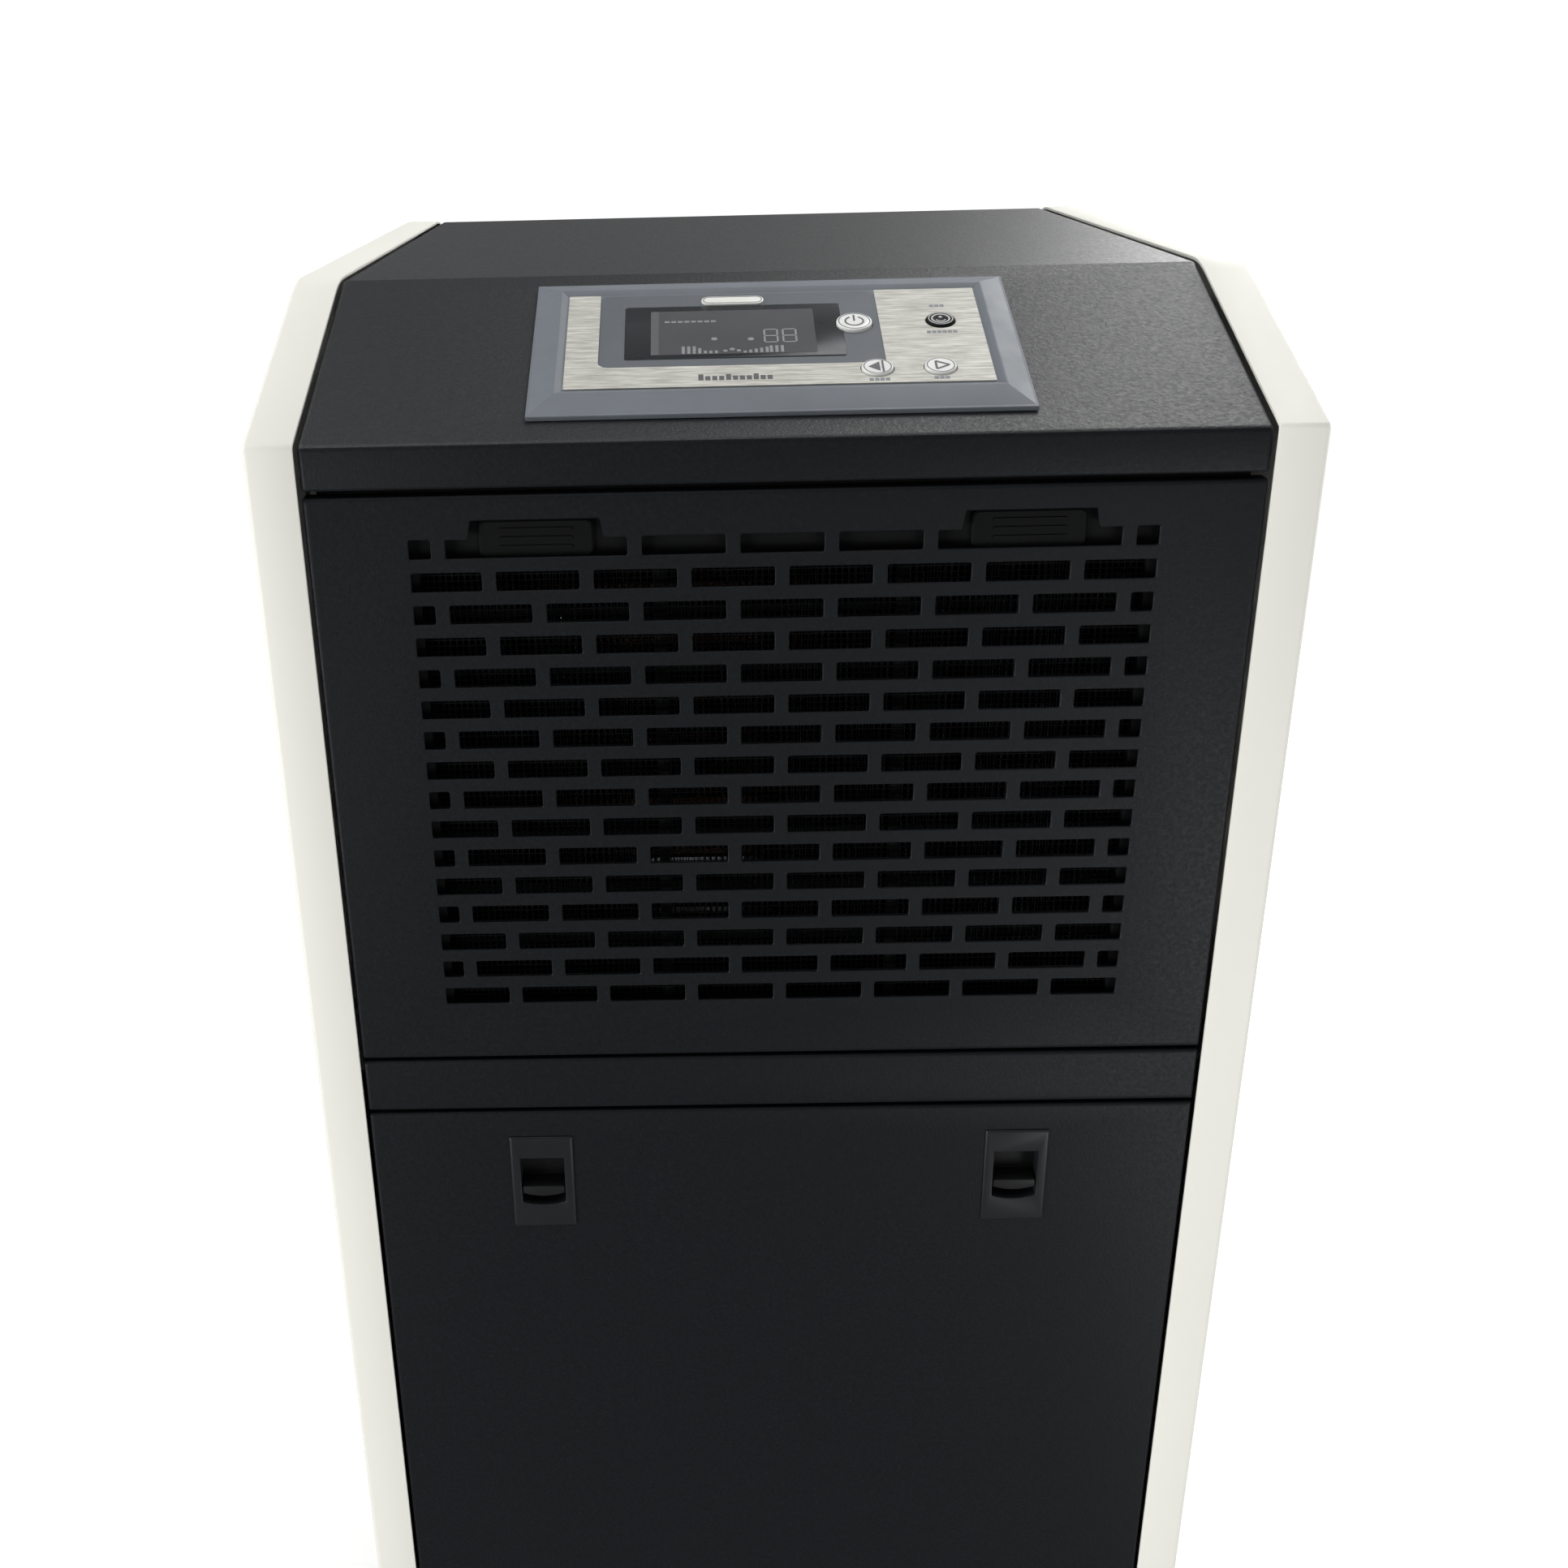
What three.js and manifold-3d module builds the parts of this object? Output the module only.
// A free-standing commercial dehumidifier on four castors, built as an assembly of separate pieces.
// Units are millimetres, +Z is up, and the front faces -Y. The origin is on the floor,
// under the centre of the overall box.

import * as THREE from "three";
import { mergeVertices } from "three/addons/utils/BufferGeometryUtils.js";
import Module from "manifold-3d";

const wasm = await Module();
wasm.setup();

// ---------- Driving dimensions ----------

const WIDTH = 410; // over the pale side panels
const DEPTH = 610; // casing, front band to rear band
const HEIGHT = 1020; // floor to top
const FITTING = 16; // how far the rear fittings stand out of the casing
const BAND = 19.7; // visible width of each side panel seen from the front
const SHEET = 1.5; // casing sheet thickness
const SLOPE_RUN = 130; // depth of the sloped console face, and of its mirror image at the rear
const SLOPE_DROP = 47.5; // height that the slope falls over that run
const CASE_BOTTOM = 75; // underside of the casing above the floor
const RECESS = 1.2; // dark panels sit this far below the pale bands
const SEAM = 1.2; // open joint between a dark panel and a band
const TOUCH = 0.3; // gap left between pieces that rest on each other

const HALF_WIDTH = WIDTH / 2;
const FRONT = -(DEPTH + FITTING) / 2;
const BACK = FRONT + DEPTH;
const MIDDLE = (FRONT + BACK) / 2;
const SHOULDER = HEIGHT - SLOPE_DROP; // top edge of the vertical front face
const SLOPE = Math.atan2(SLOPE_DROP, SLOPE_RUN);
const PANEL_HALF = HALF_WIDTH - BAND - SEAM; // half width of every dark panel
const FACE = FRONT + RECESS; // plane of the dark front panels
const REAR_FACE = BACK - RECESS;
const SKIN = HALF_WIDTH - SHEET; // inside of the side skins

// Front face, top to bottom
const APRON_BOTTOM = SHOULDER - 17.6;
const GRILLE_TOP = SHOULDER - 20.2;
const GRILLE_BOTTOM = SHOULDER - 267.6;
const RAIL_TOP = SHOULDER - 269.1;
const RAIL_BOTTOM = SHOULDER - 294.6;
const DOOR_TOP = SHOULDER - 296.1;
const DOOR_BOTTOM = 104;
const LIP_TOP = 101.5;

// Brick pattern of the air inlet
const SLOT = { rows: 16, width: 32.5, height: 7.5, pitchX: 38.1, pitchZ: 13.06, half: 144.8 };
const SLOT_TOP = SHOULDER - 37.1;
// Raised middle of the two wide finger openings over the filter's tabs
const PULL = { x: 2.5 * SLOT.pitchX, halfWidth: 26.2, height: 7.2, slopeIn: 1.2 };

// Console, measured up the slope from its front edge
const BEZEL = { halfWidth: 98, low: 16, high: 124.2, edge: 1.2, faceHeight: 2.6 };
const OVERLAY = { halfWidth: 84.5, low: 33, high: 111, thick: 0.5 };
const FIELD = { left: -71, right: 43, low: 49.5, corner: 4 }; // bare bezel showing through the overlay
const WINDOW = { left: -60.6, right: 28, low: 56, high: 100 };
const LCD = { left: -50, right: 16.5, low: 59, high: 95.5 };
const BUTTONS = {
  power_button: { x: 32.7, s: 82, r: 7.3, color: 0xf2f2ee },
  mode_button: { x: 67.8, s: 82.5, r: 5.8, color: 0x2b2c2e },
  down_button: { x: 38.9, s: 44.4, r: 6.3, color: 0xf2f2ee },
  up_button: { x: 63.6, s: 44.5, r: 6.3, color: 0xf2f2ee },
};
const WELL = { halfWidth: 90, margin: 8.5, gap: 0.8, wall: 2, depth: 24 }; // cover's opening, and its tray
const BOARD = { halfWidth: 80, low: 40, high: 110, thick: 1.6, top: -10 };
const BUTTON_PROUD = 1;
const BUTTON_STEM = 8; // how far a button reaches below the slope plane
const BUTTON_PLAY = 0.35;

// Lower door and its latches
const DOOR_FLANGE = 18;
const HINGE = { y: FACE + 5, z: DOOR_BOTTOM + 9, pin: 3, hole: 3.4 };
const LATCH = { x: 107.4, z: SHOULDER - 333.2, width: 29, height: 48.5, window: 20, depth: 10 };

// Upper compartment
const SHELF = 690;
const COIL = { half: 150, low: SHELF + 6, high: 948, fins: 24, finThick: 1.2, spine: 2 };
const FILTER = { half: 152, low: 722, thick: 6, bayPitch: 96, bayWidth: 92, foot: 8, head: 22, tab: 21 };
const EVAPORATOR_Y = FRONT + 28;
const CONDENSER_Y = FRONT + 66;
const COIL_DEPTH = 31;
const FAN = {
  y: FRONT + 112,
  z: 822,
  bore: 118,
  wall: 2,
  flange: 9,
  ring: 30,
  hub: 30,
  tip: 112,
  blades: 5,
  shaft: 4,
};
const MOTOR = { r: 42, length: 62, capR: 30, cap: 12 };
const DRIP = { half: 160, front: FRONT + 20, depth: 85, wall: 2, height: 20, spout: 7, bore: 5 };
const PIPE = { r: 5, x: 183, y: FRONT + 141, drop: 9 };
const OUTLET = { half: 150, low: 705, high: 905, flange: 8, vanes: 12, vaneDepth: 14 };

// Lower compartment
const PAN_FLOOR = CASE_BOTTOM + 2;
const TANK = {
  half: 150,
  front: FRONT + 24,
  depth: 180,
  low: PAN_FLOOR + TOUCH,
  height: 202,
  wall: 2.5,
  draft: 10,
};
const TANK_TOP = TANK.low + TANK.height;
const BAIL = { y: TANK.front + 90, z: TANK_TOP - 12, pin: 4, eye: 4.35, reach: 78 };
const FLOAT = { x: 70, y: TANK.front + TANK.depth - 15, z: TANK_TOP - 18, pin: 2.5, droop: 0.436 };
const COMPRESSOR = { x: 40, y: MIDDLE + 90, r: 60, low: 100, high: 330 };
const ACCUMULATOR = { dx: -92, r: 24, low: 150, high: 300 };
const DRAIN_X = -60;
const DRAIN_Y = FRONT + 62;
const SPOUT_DROP = 15; // how far the tray's spout reaches below the shelf
const DRAIN_FOOT = 348; // open lower end of the drain pipe, over the tank

// Side grips and castors
const GRIP = { y: MIDDLE + 30, z: 880, width: 118, height: 44, depth: 30, rim: 5 };
const CASTOR = { x: 160, y: 250, wheel: 25, tread: 20, trail: 18, axle: 4, fork: 12.5, plate: 2.5, stem: 6 };
const NIPPLE = { x: -120, z: 150 };
const GLAND = { x: 120, z: 150 };

// ---------- Geometry helpers ----------

const box = (x0, x1, y0, y1, z0, z1) =>
  new THREE.BoxGeometry(x1 - x0, y1 - y0, z1 - z0).translate((x0 + x1) / 2, (y0 + y1) / 2, (z0 + z1) / 2);

const polygon = (points) => new THREE.Shape(points.map(([x, y]) => new THREE.Vector2(x, y)));

const rectangle = (x0, x1, y0, y1) => [[x0, y0], [x1, y0], [x1, y1], [x0, y1]];

function extrude(shape, depth, curveSegments = 12) {
  return new THREE.ExtrudeGeometry(shape, { depth, bevelEnabled: false, curveSegments });
}

// A shape drawn in (y, z), extruded from x0 to x1.
function alongX(shape, x0, x1, curveSegments) {
  const turn = new THREE.Matrix4().makeBasis(
    new THREE.Vector3(0, 1, 0), new THREE.Vector3(0, 0, 1), new THREE.Vector3(1, 0, 0));
  return extrude(shape, x1 - x0, curveSegments).applyMatrix4(turn).translate(x0, 0, 0);
}

// A shape drawn in (x, z), extruded from y0 to y1.
function alongY(shape, y0, y1, curveSegments) {
  const turn = new THREE.Matrix4().makeBasis(
    new THREE.Vector3(1, 0, 0), new THREE.Vector3(0, 0, 1), new THREE.Vector3(0, -1, 0));
  return extrude(shape, y1 - y0, curveSegments).applyMatrix4(turn).translate(0, y1, 0);
}

// A shape drawn in (x, y), extruded from z0 to z1.
const alongZ = (shape, z0, z1, curveSegments) => extrude(shape, z1 - z0, curveSegments).translate(0, 0, z0);

// A cylinder from low to high along an axis, centred on the other two coordinates.
function rod(axis, r, low, high, centre = [0, 0, 0], sides = 24) {
  const geometry = new THREE.CylinderGeometry(r, r, high - low, sides); // along Y
  if (axis === "x") geometry.rotateZ(-Math.PI / 2);
  if (axis === "z") geometry.rotateX(Math.PI / 2);
  const at = [...centre];
  at["xyz".indexOf(axis)] = (low + high) / 2;
  return geometry.translate(...at);
}

// A solid of revolution about Z, from [radius, height] pairs that run bottom to top and end on the axis.
function turned(profile, sides = 24) {
  const points = profile.map(([r, z]) => new THREE.Vector2(r, z));
  return new THREE.LatheGeometry(points, sides).rotateX(Math.PI / 2);
}

// A closed solid between two polygons with the same number of points, at z0 and z1.
function loft(low, high, z0, z1) {
  const n = low.length;
  const positions = [...low.map(([x, y]) => [x, y, z0]), ...high.map(([x, y]) => [x, y, z1])];
  const cap = THREE.ShapeUtils.triangulateShape(low.map(([x, y]) => new THREE.Vector2(x, y)), []);
  const index = [];
  for (const [a, b, c] of cap) index.push(a, c, b, a + n, b + n, c + n);
  for (let i = 0; i < n; i++) {
    const j = (i + 1) % n;
    index.push(i, j, j + n, i, j + n, i + n);
  }
  const geometry = new THREE.BufferGeometry();
  geometry.setAttribute("position", new THREE.Float32BufferAttribute(positions.flat(), 3));
  geometry.setIndex(index);
  return geometry;
}

// A round bar that follows a smooth curve through points.
function bentTube(points, r, steps, sides = 8) {
  const circle = new THREE.Shape();
  for (let i = 0; i < sides; i++) {
    const angle = (2 * Math.PI * i) / sides;
    const [x, y] = [r * Math.cos(angle), r * Math.sin(angle)];
    i ? circle.lineTo(x, y) : circle.moveTo(x, y);
  }
  const corners = points.map((p) => new THREE.Vector3(...p));
  const extrudePath = new THREE.CatmullRomCurve3(corners, false, "centripetal");
  return new THREE.ExtrudeGeometry(circle, { steps, extrudePath, bevelEnabled: false });
}

function toSolid(geometry) {
  // Coordinates are rounded first, so that faces meant to be flush are exactly flush.
  const exact = geometry.getAttribute("position").array;
  const rounded = Float32Array.from(exact, (v) => Math.round(v * 1e4) / 1e4);
  const plain = new THREE.BufferGeometry();
  plain.setAttribute("position", new THREE.BufferAttribute(rounded, 3));
  if (geometry.index) plain.setIndex(geometry.index);
  const welded = mergeVertices(plain, 1e-3);
  const mesh = new wasm.Mesh({
    numProp: 3,
    vertProperties: welded.attributes.position.array,
    triVerts: new Uint32Array(welded.index.array),
  });
  return new wasm.Manifold(mesh);
}

function toGeometry(solid) {
  const made = solid.getMesh();
  const geometry = new THREE.BufferGeometry();
  geometry.setAttribute("position", new THREE.BufferAttribute(new Float32Array(made.vertProperties), 3));
  geometry.setIndex(new THREE.BufferAttribute(new Uint32Array(made.triVerts), 1));
  return geometry;
}

// Joins geometries into one body, then cuts others out of it.
function combine(joined, cut = []) {
  let solid = joined.map(toSolid).reduce((a, b) => a.add(b));
  for (const geometry of cut) solid = solid.subtract(toSolid(geometry));
  return toGeometry(solid);
}

// ---------- Materials ----------

const finish = (color, roughness, metalness = 0) =>
  new THREE.MeshStandardMaterial({ color, roughness, metalness });
const paleSheet = finish(0xdcdbd0, 0.55);
const darkSheet = finish(0x202224, 0.5);
const greyPlastic = finish(0x6d7278, 0.45);
const brushedMetal = finish(0xc4c3b8, 0.35, 0.8);
const darkGlass = finish(0x2a2d30, 0.1);
const screen = finish(0x55575a, 0.3);
const blackPlastic = finish(0x17181a, 0.6);
const boardGreen = finish(0x1d5c34, 0.6);
const zincSteel = finish(0xa9adb0, 0.4, 0.9);
const finAluminium = finish(0xb9bcbe, 0.35, 0.9);
const copper = finish(0xb0693c, 0.35, 0.9);
const blackEnamel = finish(0x111213, 0.4, 0.3);
const rubber = finish(0x1b1b1b, 0.9);
const clearPlastic = finish(0xd7dde0, 0.3);
const whitePlastic = finish(0xe9e9e4, 0.5);

const dehumidifier = new THREE.Group();

function add(name, geometry, material, parent = dehumidifier) {
  const mesh = new THREE.Mesh(geometry, material);
  mesh.name = name;
  parent.add(mesh);
  return mesh;
}

const sides = [["left", -1], ["right", 1]];

// ---------- Casing ----------

// Side outline of the casing in (y, z), moved inwards by an offset. It runs from the front foot over the
// top to the rear foot.
function outline(offset, foot) {
  const shoulder = SHOULDER + offset * Math.tan(SLOPE) - offset / Math.cos(SLOPE);
  const ridge = SLOPE_RUN + (offset * (1 / Math.cos(SLOPE) - 1)) / Math.tan(SLOPE);
  return [
    [FRONT + offset, foot],
    [FRONT + offset, shoulder],
    [FRONT + ridge, HEIGHT - offset],
    [BACK - ridge, HEIGHT - offset],
    [BACK - offset, shoulder],
    [BACK - offset, foot],
  ];
}

// A folded side panel: a flat skin with a band round its edge, open at the foot, and a hole for the grip.
function sidePanel(side) {
  const shell = alongX(polygon(outline(0, CASE_BOTTOM)), HALF_WIDTH - BAND, HALF_WIDTH);
  const hollow = alongX(polygon(outline(SHEET, CASE_BOTTOM - 10)), HALF_WIDTH - BAND - 10, SKIN);
  const grip = box(SKIN - 5, HALF_WIDTH + 5, GRIP.y - GRIP.width / 2, GRIP.y + GRIP.width / 2,
    GRIP.z - GRIP.height / 2, GRIP.z + GRIP.height / 2);
  const solid = toSolid(combine([shell], [hollow, grip]));
  return toGeometry(side < 0 ? solid.mirror([1, 0, 0]) : solid);
}

for (const [name, side] of sides) add(`side_panel_${name}`, sidePanel(side), paleSheet);

// The cover folds down over the front and rear as short aprons, and its slope has an opening for the console.
function topCover() {
  const strip = [...outline(RECESS, APRON_BOTTOM), ...outline(RECESS + SHEET, APRON_BOTTOM).reverse()];
  const { halfWidth, margin } = WELL;
  const opening = box(-halfWidth, halfWidth, BEZEL.low + margin, BEZEL.high - margin, -10, 10)
    .rotateX(SLOPE).translate(0, FRONT, SHOULDER);
  return combine([alongX(polygon(strip), -PANEL_HALF, PANEL_HALF)], [opening]);
}

add("top_cover", topCover(), darkSheet);

// One row of the brick pattern as [left, right] pairs. Shifted rows have eight slots, and the others have
// seven with a stub at each end.
function slotRow(row) {
  const shifted = row % 2 === 1;
  const web = SLOT.pitchX - SLOT.width;
  const first = web / 2 - (shifted ? 4 : 4.5) * SLOT.pitchX;
  const slots = [];
  for (let x = first; x < SLOT.half; x += SLOT.pitchX) {
    const left = Math.max(x, -SLOT.half);
    const right = Math.min(x + SLOT.width, SLOT.half);
    if (right - left > 5) slots.push([left, right]);
  }
  return slots;
}

function grillePanel() {
  const [y0, y1] = [FACE - 1, FACE + SHEET + 1];
  const holes = [];
  for (let row = 0; row < SLOT.rows; row++) {
    const top = SLOT_TOP - row * SLOT.pitchZ;
    for (const [left, right] of slotRow(row)) {
      const beside = row === 0 && Math.abs(Math.abs((left + right) / 2) - PULL.x) < SLOT.pitchX;
      if (!beside) holes.push(box(left, right, y0, y1, top - SLOT.height, top));
    }
  }
  // The two end pairs of the top row are each one wide opening with a raised middle, over the filter's tabs.
  const half = (SLOT.pitchX + SLOT.width) / 2;
  for (const x of [-PULL.x, PULL.x]) {
    const raised = polygon([
      [x - half, SLOT_TOP - SLOT.height],
      [x + half, SLOT_TOP - SLOT.height],
      [x + half, SLOT_TOP],
      [x + PULL.halfWidth, SLOT_TOP],
      [x + PULL.halfWidth - PULL.slopeIn, SLOT_TOP + PULL.height],
      [x - PULL.halfWidth + PULL.slopeIn, SLOT_TOP + PULL.height],
      [x - PULL.halfWidth, SLOT_TOP],
      [x - half, SLOT_TOP],
    ]);
    holes.push(alongY(raised, y0, y1));
  }
  return combine([box(-PANEL_HALF, PANEL_HALF, FACE, FACE + SHEET, GRILLE_BOTTOM, GRILLE_TOP)], holes);
}

add("front_grille_panel", grillePanel(), darkSheet);

function crossRail() {
  const back = FACE + 12;
  return combine(
    [box(-PANEL_HALF, PANEL_HALF, FACE, back, RAIL_BOTTOM, RAIL_TOP)],
    [box(-PANEL_HALF - 1, PANEL_HALF + 1, FACE + SHEET, back + 1, RAIL_BOTTOM + SHEET, RAIL_TOP - SHEET)],
  );
}

add("front_cross_rail", crossRail(), darkSheet);

function rearPanel() {
  const [y0, y1] = [REAR_FACE - SHEET, REAR_FACE];
  const plate = box(-PANEL_HALF, PANEL_HALF, y0, y1, LIP_TOP + SEAM, APRON_BOTTOM - SEAM);
  const outlet = box(-OUTLET.half, OUTLET.half, y0 - 1, y1 + 1, OUTLET.low, OUTLET.high);
  const fittings = [NIPPLE, GLAND].map(({ x, z }) => rod("y", 8.3, y0 - 1, y1 + 1, [x, 0, z], 20));
  return combine([plate], [outlet, ...fittings]);
}

add("rear_panel", rearPanel(), darkSheet);

// Moulded outlet grille: a flange on the outside, a rim through the panel, sloped vanes and two uprights.
function outletGrille() {
  const { half, low, high, flange, vanes, vaneDepth } = OUTLET;
  const inside = REAR_FACE - SHEET - vaneDepth;
  const ring = combine(
    [
      box(-half - flange, half + flange, REAR_FACE + TOUCH, BACK, low - flange, high + flange),
      box(-half + 0.5, half - 0.5, inside, BACK, low + 0.5, high - 0.5),
    ],
    [box(-half + 4, half - 4, inside - 1, BACK + 1, low + 4, high - 4)],
  );
  const pieces = [
    ring,
    box(-51, -49, inside, BACK - 1, low + 2, high - 2),
    box(49, 51, inside, BACK - 1, low + 2, high - 2),
  ];
  const pitch = (high - low) / vanes;
  for (let i = 0; i < vanes; i++) {
    const z = low + (i + 0.5) * pitch;
    pieces.push(box(-half + 2, half - 2, -vaneDepth / 2, vaneDepth / 2, -0.9, 0.9)
      .rotateX(-0.45).translate(0, inside + vaneDepth / 2 + 0.8, z));
  }
  return combine(pieces);
}

add("rear_outlet_grille", outletGrille(), blackPlastic);

const castorPlaces = [
  ["front_left", -CASTOR.x, MIDDLE - CASTOR.y],
  ["front_right", CASTOR.x, MIDDLE - CASTOR.y],
  ["rear_left", -CASTOR.x, MIDDLE + CASTOR.y],
  ["rear_right", CASTOR.x, MIDDLE + CASTOR.y],
];

function basePan() {
  const walls = [
    box(-SKIN + 1.5, SKIN - 1.5, FRONT + 3, BACK - 3, CASE_BOTTOM, PAN_FLOOR),
    box(-PANEL_HALF, PANEL_HALF, FACE, REAR_FACE, CASE_BOTTOM, PAN_FLOOR),
    box(-PANEL_HALF, PANEL_HALF, FACE, FACE + SHEET, CASE_BOTTOM, LIP_TOP),
    box(-PANEL_HALF, PANEL_HALF, REAR_FACE - SHEET, REAR_FACE, CASE_BOTTOM, LIP_TOP),
    box(-SKIN + 1.5, -SKIN + 3, FRONT + 6, BACK - 6, CASE_BOTTOM, 100),
    box(SKIN - 3, SKIN - 1.5, FRONT + 6, BACK - 6, CASE_BOTTOM, 100),
  ];
  const holes = castorPlaces.map(([, x, y]) =>
    rod("z", CASTOR.stem + 0.4, CASE_BOTTOM - 5, PAN_FLOOR + 5, [x, y, 0], 16));
  return combine(walls, holes);
}

add("base_pan", basePan(), zincSteel);

// Moulded grip cup, set into the side skin with a thin flange outside.
function gripCup(side) {
  const [w, h] = [GRIP.width / 2 - 0.5, GRIP.height / 2 - 0.5];
  const outer = (grow) => rectangle(-w - grow, w + grow, -h - grow, h + grow);
  const flangeFoot = HALF_WIDTH + TOUCH;
  const flangeTop = HALF_WIDTH + 1.5;
  const made = combine(
    [
      loft(outer(GRIP.rim), outer(GRIP.rim - 1), flangeFoot, flangeTop),
      loft(outer(-3), outer(0), HALF_WIDTH - GRIP.depth, HALF_WIDTH + 1),
    ],
    [loft(outer(-6), outer(-2.2), HALF_WIDTH - GRIP.depth + 2, flangeTop + 1)],
  );
  // The loft stands along +Z: lay it along +X, then mirror it for the left side.
  const laid = toSolid(made.rotateX(Math.PI / 2).rotateZ(Math.PI / 2).translate(0, GRIP.y, GRIP.z));
  return toGeometry(side < 0 ? laid.mirror([1, 0, 0]) : laid);
}

for (const [name, side] of sides) add(`side_grip_${name}`, gripCup(side), blackPlastic);

// ---------- Console, in a group whose Y runs up the slope and whose Z is the slope's normal ----------

const consoleGroup = new THREE.Group();
consoleGroup.position.set(0, FRONT, SHOULDER);
consoleGroup.rotation.x = SLOPE;
dehumidifier.add(consoleGroup);

// The silver overlay wraps round three sides of the bare field. Growing it widens the shape on every side.
function overlayShape(grow) {
  const { halfWidth, low, high } = OVERLAY;
  const shape = new THREE.Shape();
  const corner = FIELD.corner - grow;
  shape.moveTo(-halfWidth - grow, low - grow);
  shape.lineTo(halfWidth + grow, low - grow);
  shape.lineTo(halfWidth + grow, high + grow);
  shape.lineTo(FIELD.right - grow, high + grow);
  shape.lineTo(FIELD.right - grow, FIELD.low + grow);
  shape.lineTo(FIELD.left + FIELD.corner, FIELD.low + grow);
  shape.absarc(FIELD.left + FIELD.corner, FIELD.low + FIELD.corner, corner, -Math.PI / 2, -Math.PI, true);
  shape.lineTo(FIELD.left + grow, high + grow);
  shape.lineTo(-halfWidth - grow, high + grow);
  return shape;
}

const buttonHoles = (low, high) =>
  Object.values(BUTTONS).map(({ x, s, r }) => rod("z", r + BUTTON_PLAY, low, high, [x, s, 0], 20));

function controlBezel() {
  const { halfWidth, low, high, edge, faceHeight } = BEZEL;
  const foot = -RECESS + TOUCH;
  const outer = rectangle(-halfWidth, halfWidth, low, high);
  const face = rectangle(-OVERLAY.halfWidth - 1, OVERLAY.halfWidth + 1, OVERLAY.low - 1, OVERLAY.high + 1);
  const pocket = alongZ(overlayShape(TOUCH), faceHeight - OVERLAY.thick - TOUCH, faceHeight + 5, 4);
  const [left, right] = [WINDOW.left - TOUCH, WINDOW.right + TOUCH];
  const window = box(left, right, WINDOW.low - TOUCH, WINDOW.high + TOUCH, -5, 10);
  return combine(
    [loft(outer, outer, foot, foot + edge), loft(outer, face, foot + edge, faceHeight)],
    [pocket, window, ...buttonHoles(-5, 10)],
  );
}

function controlOverlay() {
  const plate = alongZ(overlayShape(0), BEZEL.faceHeight - OVERLAY.thick, BEZEL.faceHeight, 4);
  return combine([plate], buttonHoles(-5, 10));
}

// Open tray that closes the console off from the air path.
function controlHousing() {
  const { halfWidth, margin, gap, wall, depth } = WELL;
  const inset = (by) => {
    const edge = margin + by;
    return rectangle(-halfWidth + by, halfWidth - by, BEZEL.low + edge, BEZEL.high - edge);
  };
  const [outer, inner] = [inset(gap), inset(gap + wall)];
  return combine([loft(outer, outer, -depth, -RECESS)], [loft(inner, inner, -depth + wall, 5)]);
}

add("control_bezel", controlBezel(), greyPlastic, consoleGroup);
add("control_overlay", controlOverlay(), brushedMetal, consoleGroup);
const pane = box(WINDOW.left, WINDOW.right, WINDOW.low, WINDOW.high, 0.9, 2.4);
add("display_window", combine([pane], buttonHoles(-5, 10)), darkGlass, consoleGroup);
add("display_module", box(LCD.left, LCD.right, LCD.low, LCD.high, -3.5, 0.5), screen, consoleGroup);
const { halfWidth: boardHalf, low: boardLow, high: boardHigh, thick: boardThick, top: boardTop } = BOARD;
const board = box(-boardHalf, boardHalf, boardLow, boardHigh, boardTop - boardThick, boardTop);
add("display_board", board, boardGreen, consoleGroup);
add("control_housing", controlHousing(), blackPlastic, consoleGroup);
for (const [name, { x, s, r, color }] of Object.entries(BUTTONS)) {
  const cap = rod("z", r, -BUTTON_STEM, BEZEL.faceHeight + BUTTON_PROUD, [x, s, 0], 20);
  add(name, cap, finish(color, 0.4), consoleGroup);
}

// ---------- Lower door ----------

function frontDoor() {
  const [w, h] = [LATCH.width / 2 - 1.7, LATCH.height / 2 - 1.7];
  const openings = [-LATCH.x, LATCH.x].map((x) =>
    box(x - w, x + w, FACE - 1, FACE + SHEET + 1, LATCH.z - h, LATCH.z + h));
  const inner = PANEL_HALF - SHEET;
  const back = FACE + DOOR_FLANGE;
  return combine(
    [box(-PANEL_HALF, PANEL_HALF, FACE, back, DOOR_BOTTOM, DOOR_TOP)],
    [
      box(-inner, inner, FACE + SHEET, back + 1, DOOR_BOTTOM - 1, DOOR_TOP - SHEET),
      rod("x", HINGE.hole, -PANEL_HALF - 5, PANEL_HALF + 5, [0, HINGE.y, HINGE.z], 16),
      ...openings,
    ],
  );
}

add("front_door", frontDoor(), darkSheet);

// Block on the base pan behind a side band, with the pin that the door turns on.
function hingePin(side) {
  const made = toSolid(combine([
    box(187, 199, FRONT + 4, FRONT + 16, PAN_FLOOR + TOUCH, HINGE.z + 9),
    rod("x", HINGE.pin, 177, 190, [0, HINGE.y, HINGE.z], 16),
  ]));
  return toGeometry(side < 0 ? made.mirror([1, 0, 0]) : made);
}

for (const [name, side] of sides) add(`door_hinge_pin_${name}`, hingePin(side), zincSteel);

// Lower edge of the latch window or thumb lip: an arc that bulges down between two side points.
function bowedShape(half, top, side, lowest) {
  const shape = new THREE.Shape();
  shape.moveTo(-half, top);
  shape.lineTo(-half, side);
  shape.quadraticCurveTo(0, 2 * lowest - side, half, side);
  shape.lineTo(half, top);
  return shape;
}

const LIP_OF_LATCH = { top: LATCH.z - 2.8, side: LATCH.z - 6.5, lowest: LATCH.z - 8.2 };

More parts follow.
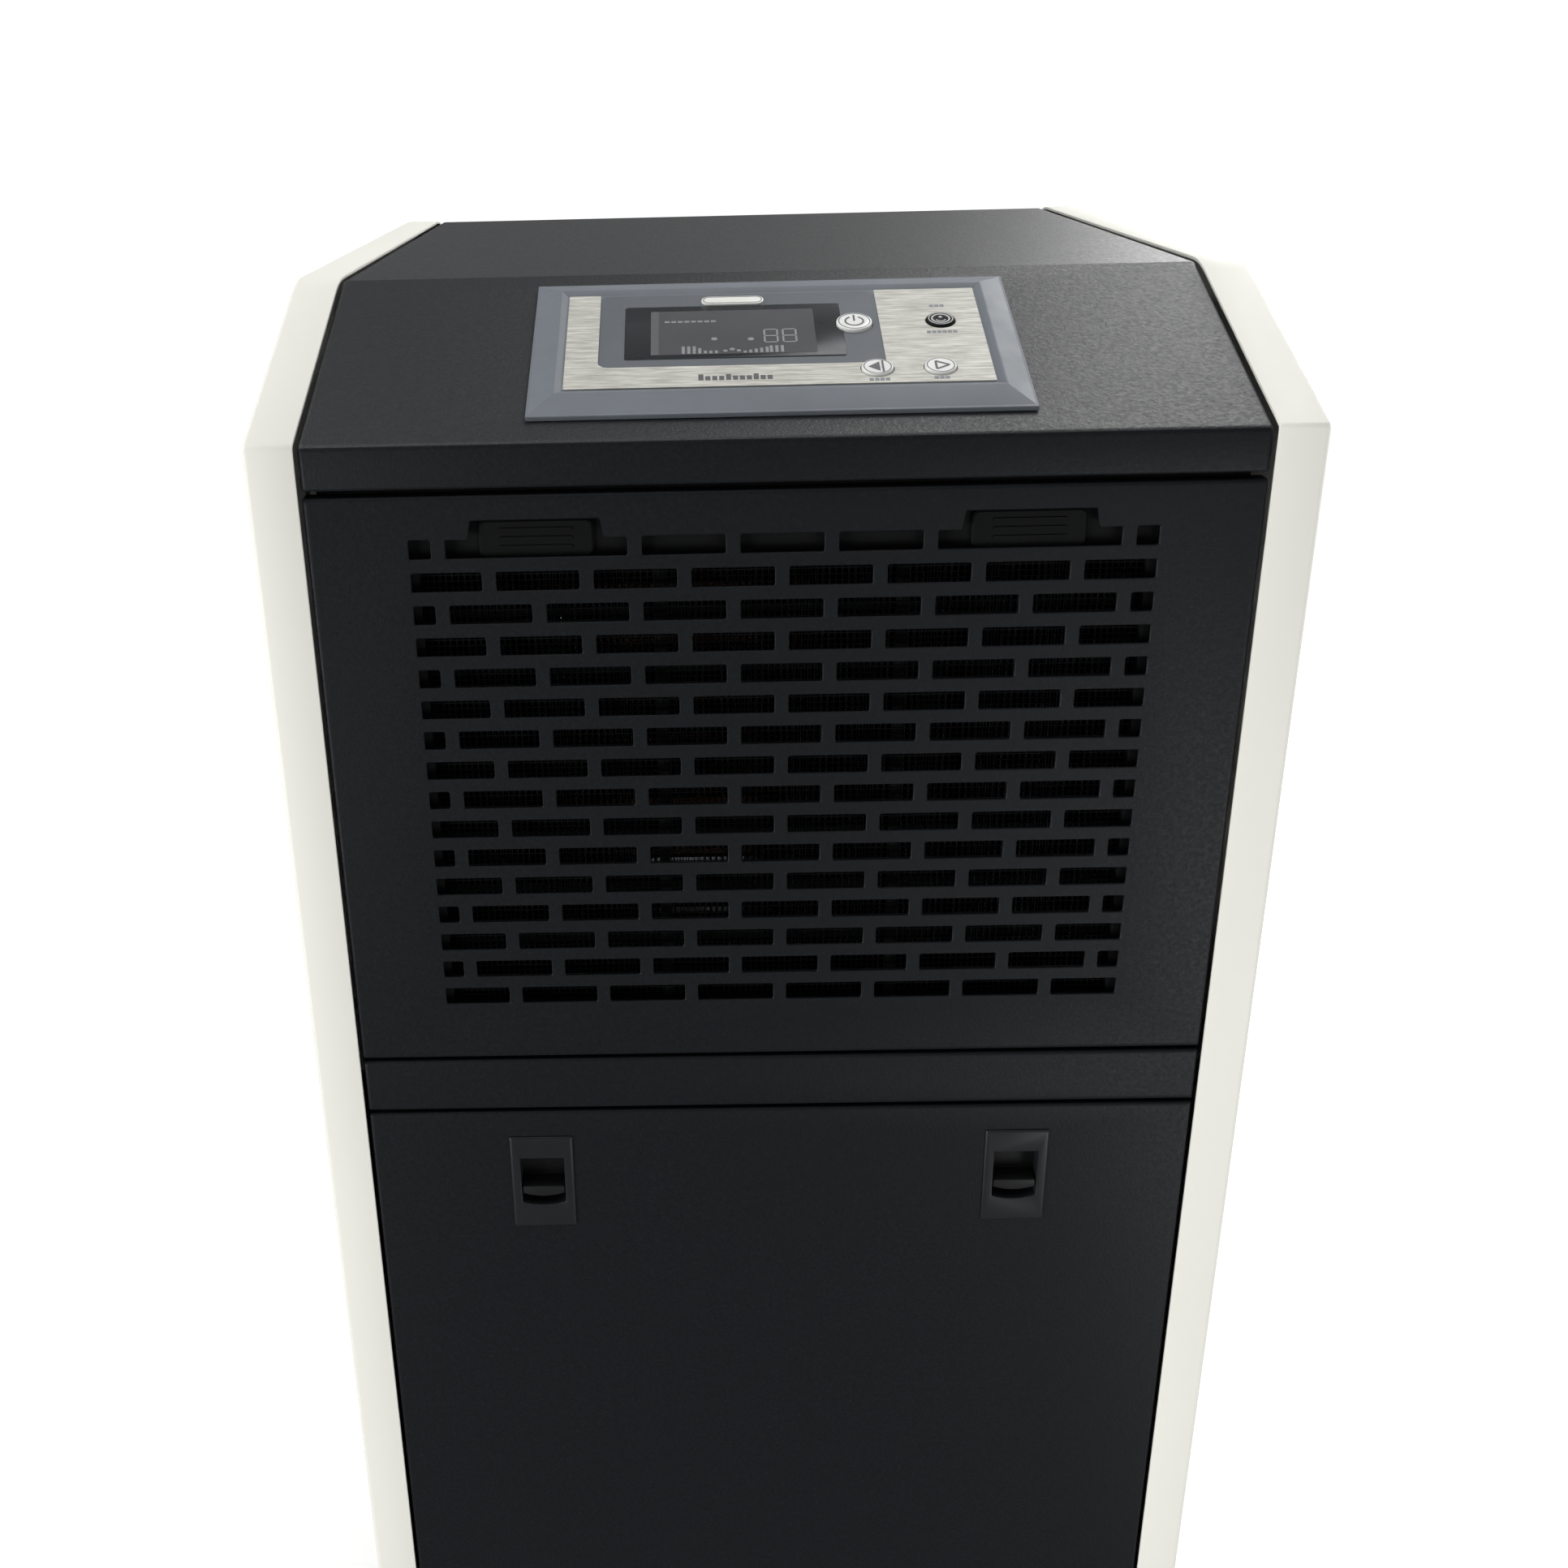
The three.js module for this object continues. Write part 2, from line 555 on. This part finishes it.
function latchBezel(x) {
  const [w, h] = [LATCH.width / 2, LATCH.height / 2];
  const plate = loft(rectangle(-w, w, -h, h), rectangle(-w + 1, w - 1, -h + 1, h - 1), 0, RECESS - TOUCH)
    .rotateX(Math.PI / 2).translate(0, FACE - TOUCH, LATCH.z);
  const neck = box(-w + 2, w - 2, FRONT + 0.3, FRONT + LATCH.depth + 0.9, LATCH.z - h + 2, LATCH.z + h - 2);
  const window = bowedShape(LATCH.window / 2, LATCH.z + 12.9, LATCH.z - 10.8, LATCH.z - 12.5);
  return combine([plate, neck], [alongY(window, FRONT - 5, FRONT + 30, 6)]).translate(x, 0, 0);
}

// The slider: a lip that the thumb presses down, a back plate and the bolt.
function latchSlider(x) {
  const { top, side, lowest } = LIP_OF_LATCH;
  const back = FRONT + LATCH.depth + 1.5;
  return combine([
    alongY(bowedShape(LATCH.window / 2 - 0.4, top, side, lowest), FRONT + 0.8, back + 1, 6),
    box(-11.5, 11.5, back, back + 2, LATCH.z - 15, LATCH.z + 15),
    box(-5, 5, back, back + 4, LATCH.z + 10, DOOR_TOP - SHEET - 0.6),
  ]).translate(x, 0, 0);
}

for (const [name, side] of sides) {
  add(`latch_bezel_${name}`, latchBezel(side * LATCH.x), blackPlastic);
  add(`latch_slider_${name}`, latchSlider(side * LATCH.x), blackPlastic);
}

// ---------- Air path: filter, coils, fan ----------

function airFilter() {
  const { half, low, thick, bayPitch, bayWidth, foot, head, tab } = FILTER;
  const [y0, y1] = [FRONT + 6, FRONT + 6 + thick];
  const high = COIL.high;
  const openings = [-1, 0, 1].map((bay) => {
    const x = bay * bayPitch;
    return box(x - bayWidth / 2, x + bayWidth / 2, y0 - 1, y1 + 1, low + foot, high - head);
  });
  const frame = combine([box(-half, half, y0, y1, low, high)], openings);
  const mesh = box(-half + 2, half - 2, y0 + 3, y0 + 3.8, low + 2, high - 2);
  const tabs = [-PULL.x, PULL.x].map((x) =>
    box(x - PULL.halfWidth + 4, x + PULL.halfWidth - 4, y0 - 2, y0 + 1, high - tab, high - 6));
  return combine([frame, mesh, ...tabs]);
}

add("air_filter", airFilter(), blackPlastic);

// A fin pack: upright fins on a thin spine, as a double-sided comb seen from above.
function finPack(y) {
  const { half, low, high, fins, finThick, spine } = COIL;
  const pitch = (2 * half - finThick) / (fins - 1);
  const middle = y + COIL_DEPTH / 2;
  const front = [];
  const rear = [];
  for (let i = 0; i < fins; i++) {
    const x0 = -half + i * pitch;
    const x1 = x0 + finThick;
    front.push([x0, y], [x1, y]);
    rear.push([x0, y + COIL_DEPTH], [x1, y + COIL_DEPTH]);
    if (i < fins - 1) {
      front.push([x1, middle - spine / 2], [x1 + pitch - finThick, middle - spine / 2]);
      rear.push([x1, middle + spine / 2], [x1 + pitch - finThick, middle + spine / 2]);
    }
  }
  return alongZ(polygon([...front, ...rear.reverse()]), low, high);
}

add("evaporator_coil", finPack(EVAPORATOR_Y), finAluminium);
add("condenser_coil", finPack(CONDENSER_Y), finAluminium);

function dripTray() {
  const { half, front, depth, wall, height } = DRIP;
  const outer = rectangle(-half, half, front, front + depth);
  const inner = rectangle(-half + wall, half - wall, front + wall, front + depth - wall);
  const floor = SHELF + SHEET + TOUCH;
  const spout = rod("z", DRIP.spout, SHELF - SPOUT_DROP, floor + 1, [DRAIN_X, DRAIN_Y, 0], 16);
  const bore = rod("z", DRIP.bore, SHELF - 2 * SPOUT_DROP, floor + 10, [DRAIN_X, DRAIN_Y, 0], 16);
  const hollow = loft(inner, inner, floor + wall, floor + height + 10);
  return combine([loft(outer, outer, floor, floor + height), spout], [hollow, bore]);
}

add("drip_tray", dripTray(), blackPlastic);

function shelf() {
  const plate = box(-200, 200, FRONT + 16, REAR_FACE - 22, SHELF, SHELF + SHEET);
  const places = [[DRAIN_X, DRAIN_Y, 9], [-PIPE.x, PIPE.y, PIPE.drop], [PIPE.x, PIPE.y, PIPE.drop]];
  const holes = places.map(([x, y, r]) => rod("z", r, SHELF - 1, SHELF + SHEET + 1, [x, y, 0], 16));
  return combine([plate], holes);
}

add("component_shelf", shelf(), zincSteel);

// Sheet that closes the coil chamber off round the fan ring.
function fanPlate() {
  const { y, z, bore, wall } = FAN;
  const plate = box(-165, 165, y, y + SHEET, SHELF + 3, 984);
  return combine([plate], [rod("y", bore + wall + TOUCH, y - 5, y + 5, [0, 0, z], 36)]);
}

add("fan_plate", fanPlate(), zincSteel);

// Moulded ring with a flange behind the plate, and the spider that carries the motor.
function fanShroud() {
  const { y, z, bore, ring, wall, flange } = FAN;
  const tube = rod("y", bore + wall, y, y + ring, [0, 0, z], 36);
  const seat = rod("y", bore + flange, y + SHEET + TOUCH, y + SHEET + TOUCH + wall, [0, 0, z], 36);
  const mouth = rod("y", bore, y - 5, y + ring + 5, [0, 0, z], 36);
  const disc = rod("y", 50, y + ring - 3, y + ring, [0, 0, z], 24);
  const arms = [];
  for (let i = 0; i < 4; i++) {
    arms.push(box(40, bore + 1, -5, 5, -1.5, 1.5).rotateX(Math.PI / 2)
      .rotateY(Math.PI / 4 + (i * Math.PI) / 2).translate(0, y + ring - 1.5, z));
  }
  const shaftHole = rod("y", 10, y, y + ring + 5, [0, 0, z], 16);
  return combine([combine([tube, seat], [mouth]), combine([disc, ...arms], [shaftHole])]);
}

add("fan_shroud", fanShroud(), blackPlastic);

function fanMotor() {
  const start = FAN.y + FAN.ring + TOUCH;
  return combine([
    rod("y", MOTOR.r, start, start + MOTOR.length, [0, 0, FAN.z]),
    rod("y", MOTOR.capR, start + MOTOR.length - 2, start + MOTOR.length + MOTOR.cap, [0, 0, FAN.z]),
    rod("y", FAN.shaft, FAN.y + 3, start + 10, [0, 0, FAN.z], 16),
  ]);
}

add("fan_motor", fanMotor(), zincSteel);

// Axial impeller: a hub and five swept, pitched blades.
function fanImpeller() {
  const { y, z, hub, tip, blades, shaft } = FAN;
  const blade = new THREE.Shape();
  blade.moveTo(hub - 4, -14);
  blade.quadraticCurveTo(tip * 0.6, -34, tip - 3, -34);
  blade.quadraticCurveTo(tip + 2, 0, tip - 12, 30);
  blade.quadraticCurveTo(tip * 0.5, 24, hub - 4, 14);
  const pieces = [rod("y", hub, y + 5, y + 24, [0, 0, 0], 24)];
  for (let i = 0; i < blades; i++) {
    pieces.push(alongZ(blade, -1, 1, 4).rotateX(0.34).rotateX(Math.PI / 2)
      .rotateY((2 * Math.PI * i) / blades).translate(0, y + 14.5, 0));
  }
  return combine(pieces, [rod("y", shaft + 0.3, y, y + 40, [0, 0, 0], 16)]).translate(0, 0, z);
}

add("fan_impeller", fanImpeller(), blackPlastic);

// ---------- Refrigerant circuit ----------

// The compressor shell with its brazed-on accumulator, straps and three-legged foot plate.
const FEET = [90, 210, 330].map((deg) => {
  const angle = THREE.MathUtils.degToRad(deg);
  return [COMPRESSOR.x + 72 * Math.cos(angle), COMPRESSOR.y + 72 * Math.sin(angle)];
});

function compressor() {
  const { x, y, r, low, high } = COMPRESSOR;
  const shell = turned([[0, low + 3], [r - 12, low + 3], [r - 3, low + 8], [r, low + 20], [r, high - 30],
    [r - 8, high - 12], [r - 26, high - 2], [0, high]], 24).translate(x, y, 0);
  const { dx, r: canR, low: canLow, high: canHigh } = ACCUMULATOR;
  const can = turned([[0, canLow], [canR - 8, canLow], [canR, canLow + 12], [canR, canHigh - 12],
    [canR - 8, canHigh], [0, canHigh]], 14).translate(x + dx, y, 0);
  const strap = box(x + dx, x, y - 8, y + 8, 235, 247);
  const elbow = bentTube([
    [x + dx, y, canLow + 5],
    [x + dx, y, canLow - 14],
    [x + dx + 20, y, canLow - 22],
    [x - r + 10, y, canLow - 22],
  ], 6, 8);
  const plate = rod("z", 58, low, low + 3.5, [x, y, 0], 20);
  const lugs = FEET.map(([fx, fy]) => rod("z", 17, low, low + 3, [fx, fy, 0], 12));
  const lugHoles = FEET.map(([fx, fy]) => rod("z", 7.4, low - 5, low + 10, [fx, fy, 0], 10));
  return combine([shell, can, strap, elbow, plate, ...lugs], lugHoles);
}

add("compressor", compressor(), blackEnamel);

// Waisted rubber feet that the compressor's lugs sit in.
FEET.forEach(([x, y], i) => {
  const low = PAN_FLOOR + TOUCH;
  const lug = COMPRESSOR.low;
  const profile = [[0, low], [14, low], [14, low + 5], [11, low + 10], [13, lug - TOUCH], [7, lug - TOUCH],
    [7, lug + 9], [0, lug + 9]];
  add(`compressor_foot_${i + 1}`, turned(profile, 10).translate(x, y, 0), rubber);
});

// A pipe that rises beside the shroud and turns forward and inward to the end of a coil.
function riser(side, start, coilY, coilZ) {
  const x = side * PIPE.x;
  return bentTube([
    start,
    [start[0], start[1], start[2] + 40],
    [start[0] + (x - start[0]) * 0.3, start[1] + (PIPE.y - start[1]) * 0.3, start[2] + 90],
    [x, PIPE.y, start[2] + 190],
    [x, PIPE.y, SHELF + 20],
    [x, PIPE.y, coilZ - 30],
    [x, PIPE.y - 22, coilZ],
    [x, coilY + 12, coilZ],
    [x - side * 12, coilY, coilZ],
    [side * (COIL.half + TOUCH), coilY, coilZ],
  ], PIPE.r, 30, 7);
}

const dischargeStart = [COMPRESSOR.x, COMPRESSOR.y, COMPRESSOR.high + TOUCH];
const suctionStart = [COMPRESSOR.x + ACCUMULATOR.dx, COMPRESSOR.y, ACCUMULATOR.high + TOUCH];
add("discharge_pipe", riser(1, dischargeStart, CONDENSER_Y + COIL_DEPTH / 2, 900), copper);
add("suction_pipe", riser(-1, suctionStart, EVAPORATOR_Y + COIL_DEPTH / 2, 780), copper);

function filterDrier() {
  const x = COIL.half + 32;
  const [rear, front] = [CONDENSER_Y + COIL_DEPTH / 2, EVAPORATOR_Y + COIL_DEPTH / 2];
  const middle = (rear + front) / 2;
  const can = turned([[0, 745], [4, 745], [9, 755], [9, 825], [4, 835], [0, 835]], 10)
    .translate(x, middle, 0);
  const end = COIL.half + TOUCH;
  const inlet = [[end, rear, 860], [x - 8, rear, 860], [x, rear - 10, 856], [x, middle, 833]];
  const outlet = [[end, front, 722], [x - 8, front, 722], [x, front + 10, 726], [x, middle, 747]];
  return combine([can, bentTube(inlet, 3, 9, 6), bentTube(outlet, 3, 9, 6)]);
}

add("filter_drier", filterDrier(), copper);

// ---------- Condensate: drain pipe, tank, handle, float ----------

const drain = rod("z", 8, DRAIN_FOOT, SHELF - SPOUT_DROP - TOUCH, [DRAIN_X, DRAIN_Y, 0], 14);
add("drain_pipe", drain, whitePlastic);

function waterTank() {
  const { half, front, depth, low, height, wall, draft } = TANK;
  const foot = rectangle(-half + draft, half - draft, front + draft, front + depth - draft);
  const rim = rectangle(-half, half, front, front + depth);
  const inset = draft + wall;
  const footIn = rectangle(-half + inset, half - inset, front + inset, front + depth - inset);
  const rimIn = rectangle(-half + wall, half - wall, front + wall, front + depth - wall);
  const hollow = loft(footIn, rimIn, low + wall, low + height + 0.01);
  const shell = combine([loft(foot, rim, low, low + height)], [hollow]);
  const rear = front + depth - wall / 2;
  const extras = [
    rod("x", BAIL.pin, -half - 6, -half + 1.5, [0, BAIL.y, BAIL.z], 14),
    rod("x", BAIL.pin, half - 1.5, half + 6, [0, BAIL.y, BAIL.z], 14),
    box(FLOAT.x - 10, FLOAT.x - 7, FLOAT.y - 6, rear, FLOAT.z - 7, FLOAT.z + 6),
    box(FLOAT.x + 7, FLOAT.x + 10, FLOAT.y - 6, rear, FLOAT.z - 7, FLOAT.z + 6),
    rod("x", FLOAT.pin, FLOAT.x - 8, FLOAT.x + 8, [0, FLOAT.y, FLOAT.z], 12),
  ];
  return combine([shell, ...extras]);
}

add("water_tank", waterTank(), clearPlastic);

// A bail folded forward: an eye on each tank pin, two arms that rise over the rim, and a cross bar.
function tankHandle() {
  const [inner, outer] = [TANK.half + 0.5, TANK.half + 4.5];
  const rise = Math.atan2(BAIL.pin + 4 + 12, BAIL.reach);
  const pieces = [];
  for (const side of [-1, 1]) {
    const [x0, x1] = side < 0 ? [-outer, -inner] : [inner, outer];
    pieces.push(rod("x", BAIL.pin + 5, x0, x1, [0, 0, 0], 18), box(x0, x1, -BAIL.reach, 0, -4, 4));
  }
  pieces.push(box(-outer, outer, -BAIL.reach - 4, -BAIL.reach + 4, -4, 4));
  return combine(pieces, [rod("x", BAIL.eye, -outer - 5, outer + 5, [0, 0, 0], 18)])
    .rotateX(-rise).translate(0, BAIL.y, BAIL.z);
}

add("tank_handle", tankHandle(), whitePlastic);

function tankFloat() {
  const arm = combine(
    [
      rod("x", 6, -6, 6, [0, 0, 0], 14),
      box(-3, 3, -62, 0, -2.5, 2.5),
      box(-14, 14, -78, -40, -11, 11),
    ],
    [rod("x", FLOAT.pin + 0.35, -20, 20, [0, 0, 0], 14)],
  );
  return arm.rotateX(FLOAT.droop).translate(FLOAT.x, FLOAT.y, FLOAT.z);
}

add("tank_float", tankFloat(), whitePlastic);

// Reed switch on an upright strip behind the tank.
function floatSwitch() {
  const y = TANK.front + TANK.depth + 2;
  return combine([
    box(FLOAT.x - 10, FLOAT.x + 10, y + 8, y + 10, PAN_FLOOR + TOUCH, TANK_TOP),
    box(FLOAT.x - 10, FLOAT.x + 10, y, y + 9, TANK_TOP - 40, TANK_TOP - 5),
  ]);
}

add("float_switch", floatSwitch(), blackPlastic);

// ---------- Electrical parts and rear fittings ----------

add("main_control_board", box(-192, -190.4, MIDDLE - 70, MIDDLE + 70, 705, 835), boardGreen);

function runCapacitor() {
  const [x, y, low] = [-120, MIDDLE + 110, SHELF + SHEET + TOUCH];
  return turned([[0, low], [20, low], [20, low + 66], [18, low + 70], [0, low + 70]], 20).translate(x, y, 0);
}

add("run_capacitor", runCapacitor(), whitePlastic);

// A ringed spigot for a drain hose, or a cord gland: a flange outside the panel, a neck in it, and a bore.
function rearFitting({ x, z }, profile, bore) {
  const points = profile.map(([r, out]) => [r, REAR_FACE + out]);
  const body = turned(points, 14);
  const hole = rod("z", bore, REAR_FACE - 30, BACK + FITTING + 5, [0, 0, 0], 12);
  return combine([body], [hole]).rotateX(-Math.PI / 2).translate(x, 0, z);
}

const REACH = RECESS + FITTING;
const neck = [[0, -14], [8, -14], [8, TOUCH]];
const nippleProfile = [...neck, [14, TOUCH], [14, 3.5], [6.5, 3.5], [6.5, 7], [8, 8], [6.5, 11], [8, 12],
  [6.2, REACH], [0, REACH]];
const glandProfile = [...neck, [13, TOUCH], [13, 6], [11, 7], [11, 12], [8, REACH], [0, REACH]];
add("drain_nipple", rearFitting(NIPPLE, nippleProfile, 4.5), blackPlastic);
add("cord_gland", rearFitting(GLAND, glandProfile, 4), blackPlastic);

// ---------- Castors ----------

// A pressed fork with its king pin, nut and axle, standing at the origin with the wheel trailing towards +Y.
function castorFork() {
  const { wheel, trail, axle, fork, plate, stem } = CASTOR;
  const cheek = polygon([[-18, 66], [-16, 52], [trail - 7, wheel - 5], [trail + 7, wheel - 5],
    [trail + 8, wheel + 6], [18, 66]]);
  return combine([
    rod("z", 20, 64, 70, [0, 0, 0], 16),
    rod("z", 14, 69, CASE_BOTTOM - 0.6, [0, 0, 0], 12),
    rod("z", stem, 70, CASE_BOTTOM + 14, [0, 0, 0], 10),
    rod("z", 10, CASE_BOTTOM + 2.6, CASE_BOTTOM + 9, [0, 0, 0], 6),
    alongX(cheek, -fork - plate, -fork),
    alongX(cheek, fork, fork + plate),
    rod("x", axle, -fork - plate - 1.5, fork + plate + 1.5, [0, trail, wheel], 10),
  ]);
}

// The cheeks' tops stand wider than the round head, so the wheel clears them.
function castorWheel() {
  const { wheel, tread, axle } = CASTOR;
  const half = tread / 2;
  const profile = [[0, -half - 1.5], [8, -half - 1.5], [8, -half], [wheel - 2, -half], [wheel, -half + 2],
    [wheel, half - 2], [wheel - 2, half], [8, half], [8, half + 1.5], [0, half + 1.5]];
  const bore = rod("z", axle + 0.35, -half - 9, half + 9, [0, 0, 0], 10);
  return combine([turned(profile, 20)], [bore]).rotateY(Math.PI / 2);
}

for (const [name, x, y] of castorPlaces) {
  add(`castor_fork_${name}`, castorFork(), zincSteel).position.set(x, y, 0);
  add(`castor_wheel_${name}`, castorWheel(), rubber).position.set(x, y + CASTOR.trail, CASTOR.wheel);
}

export default dehumidifier;
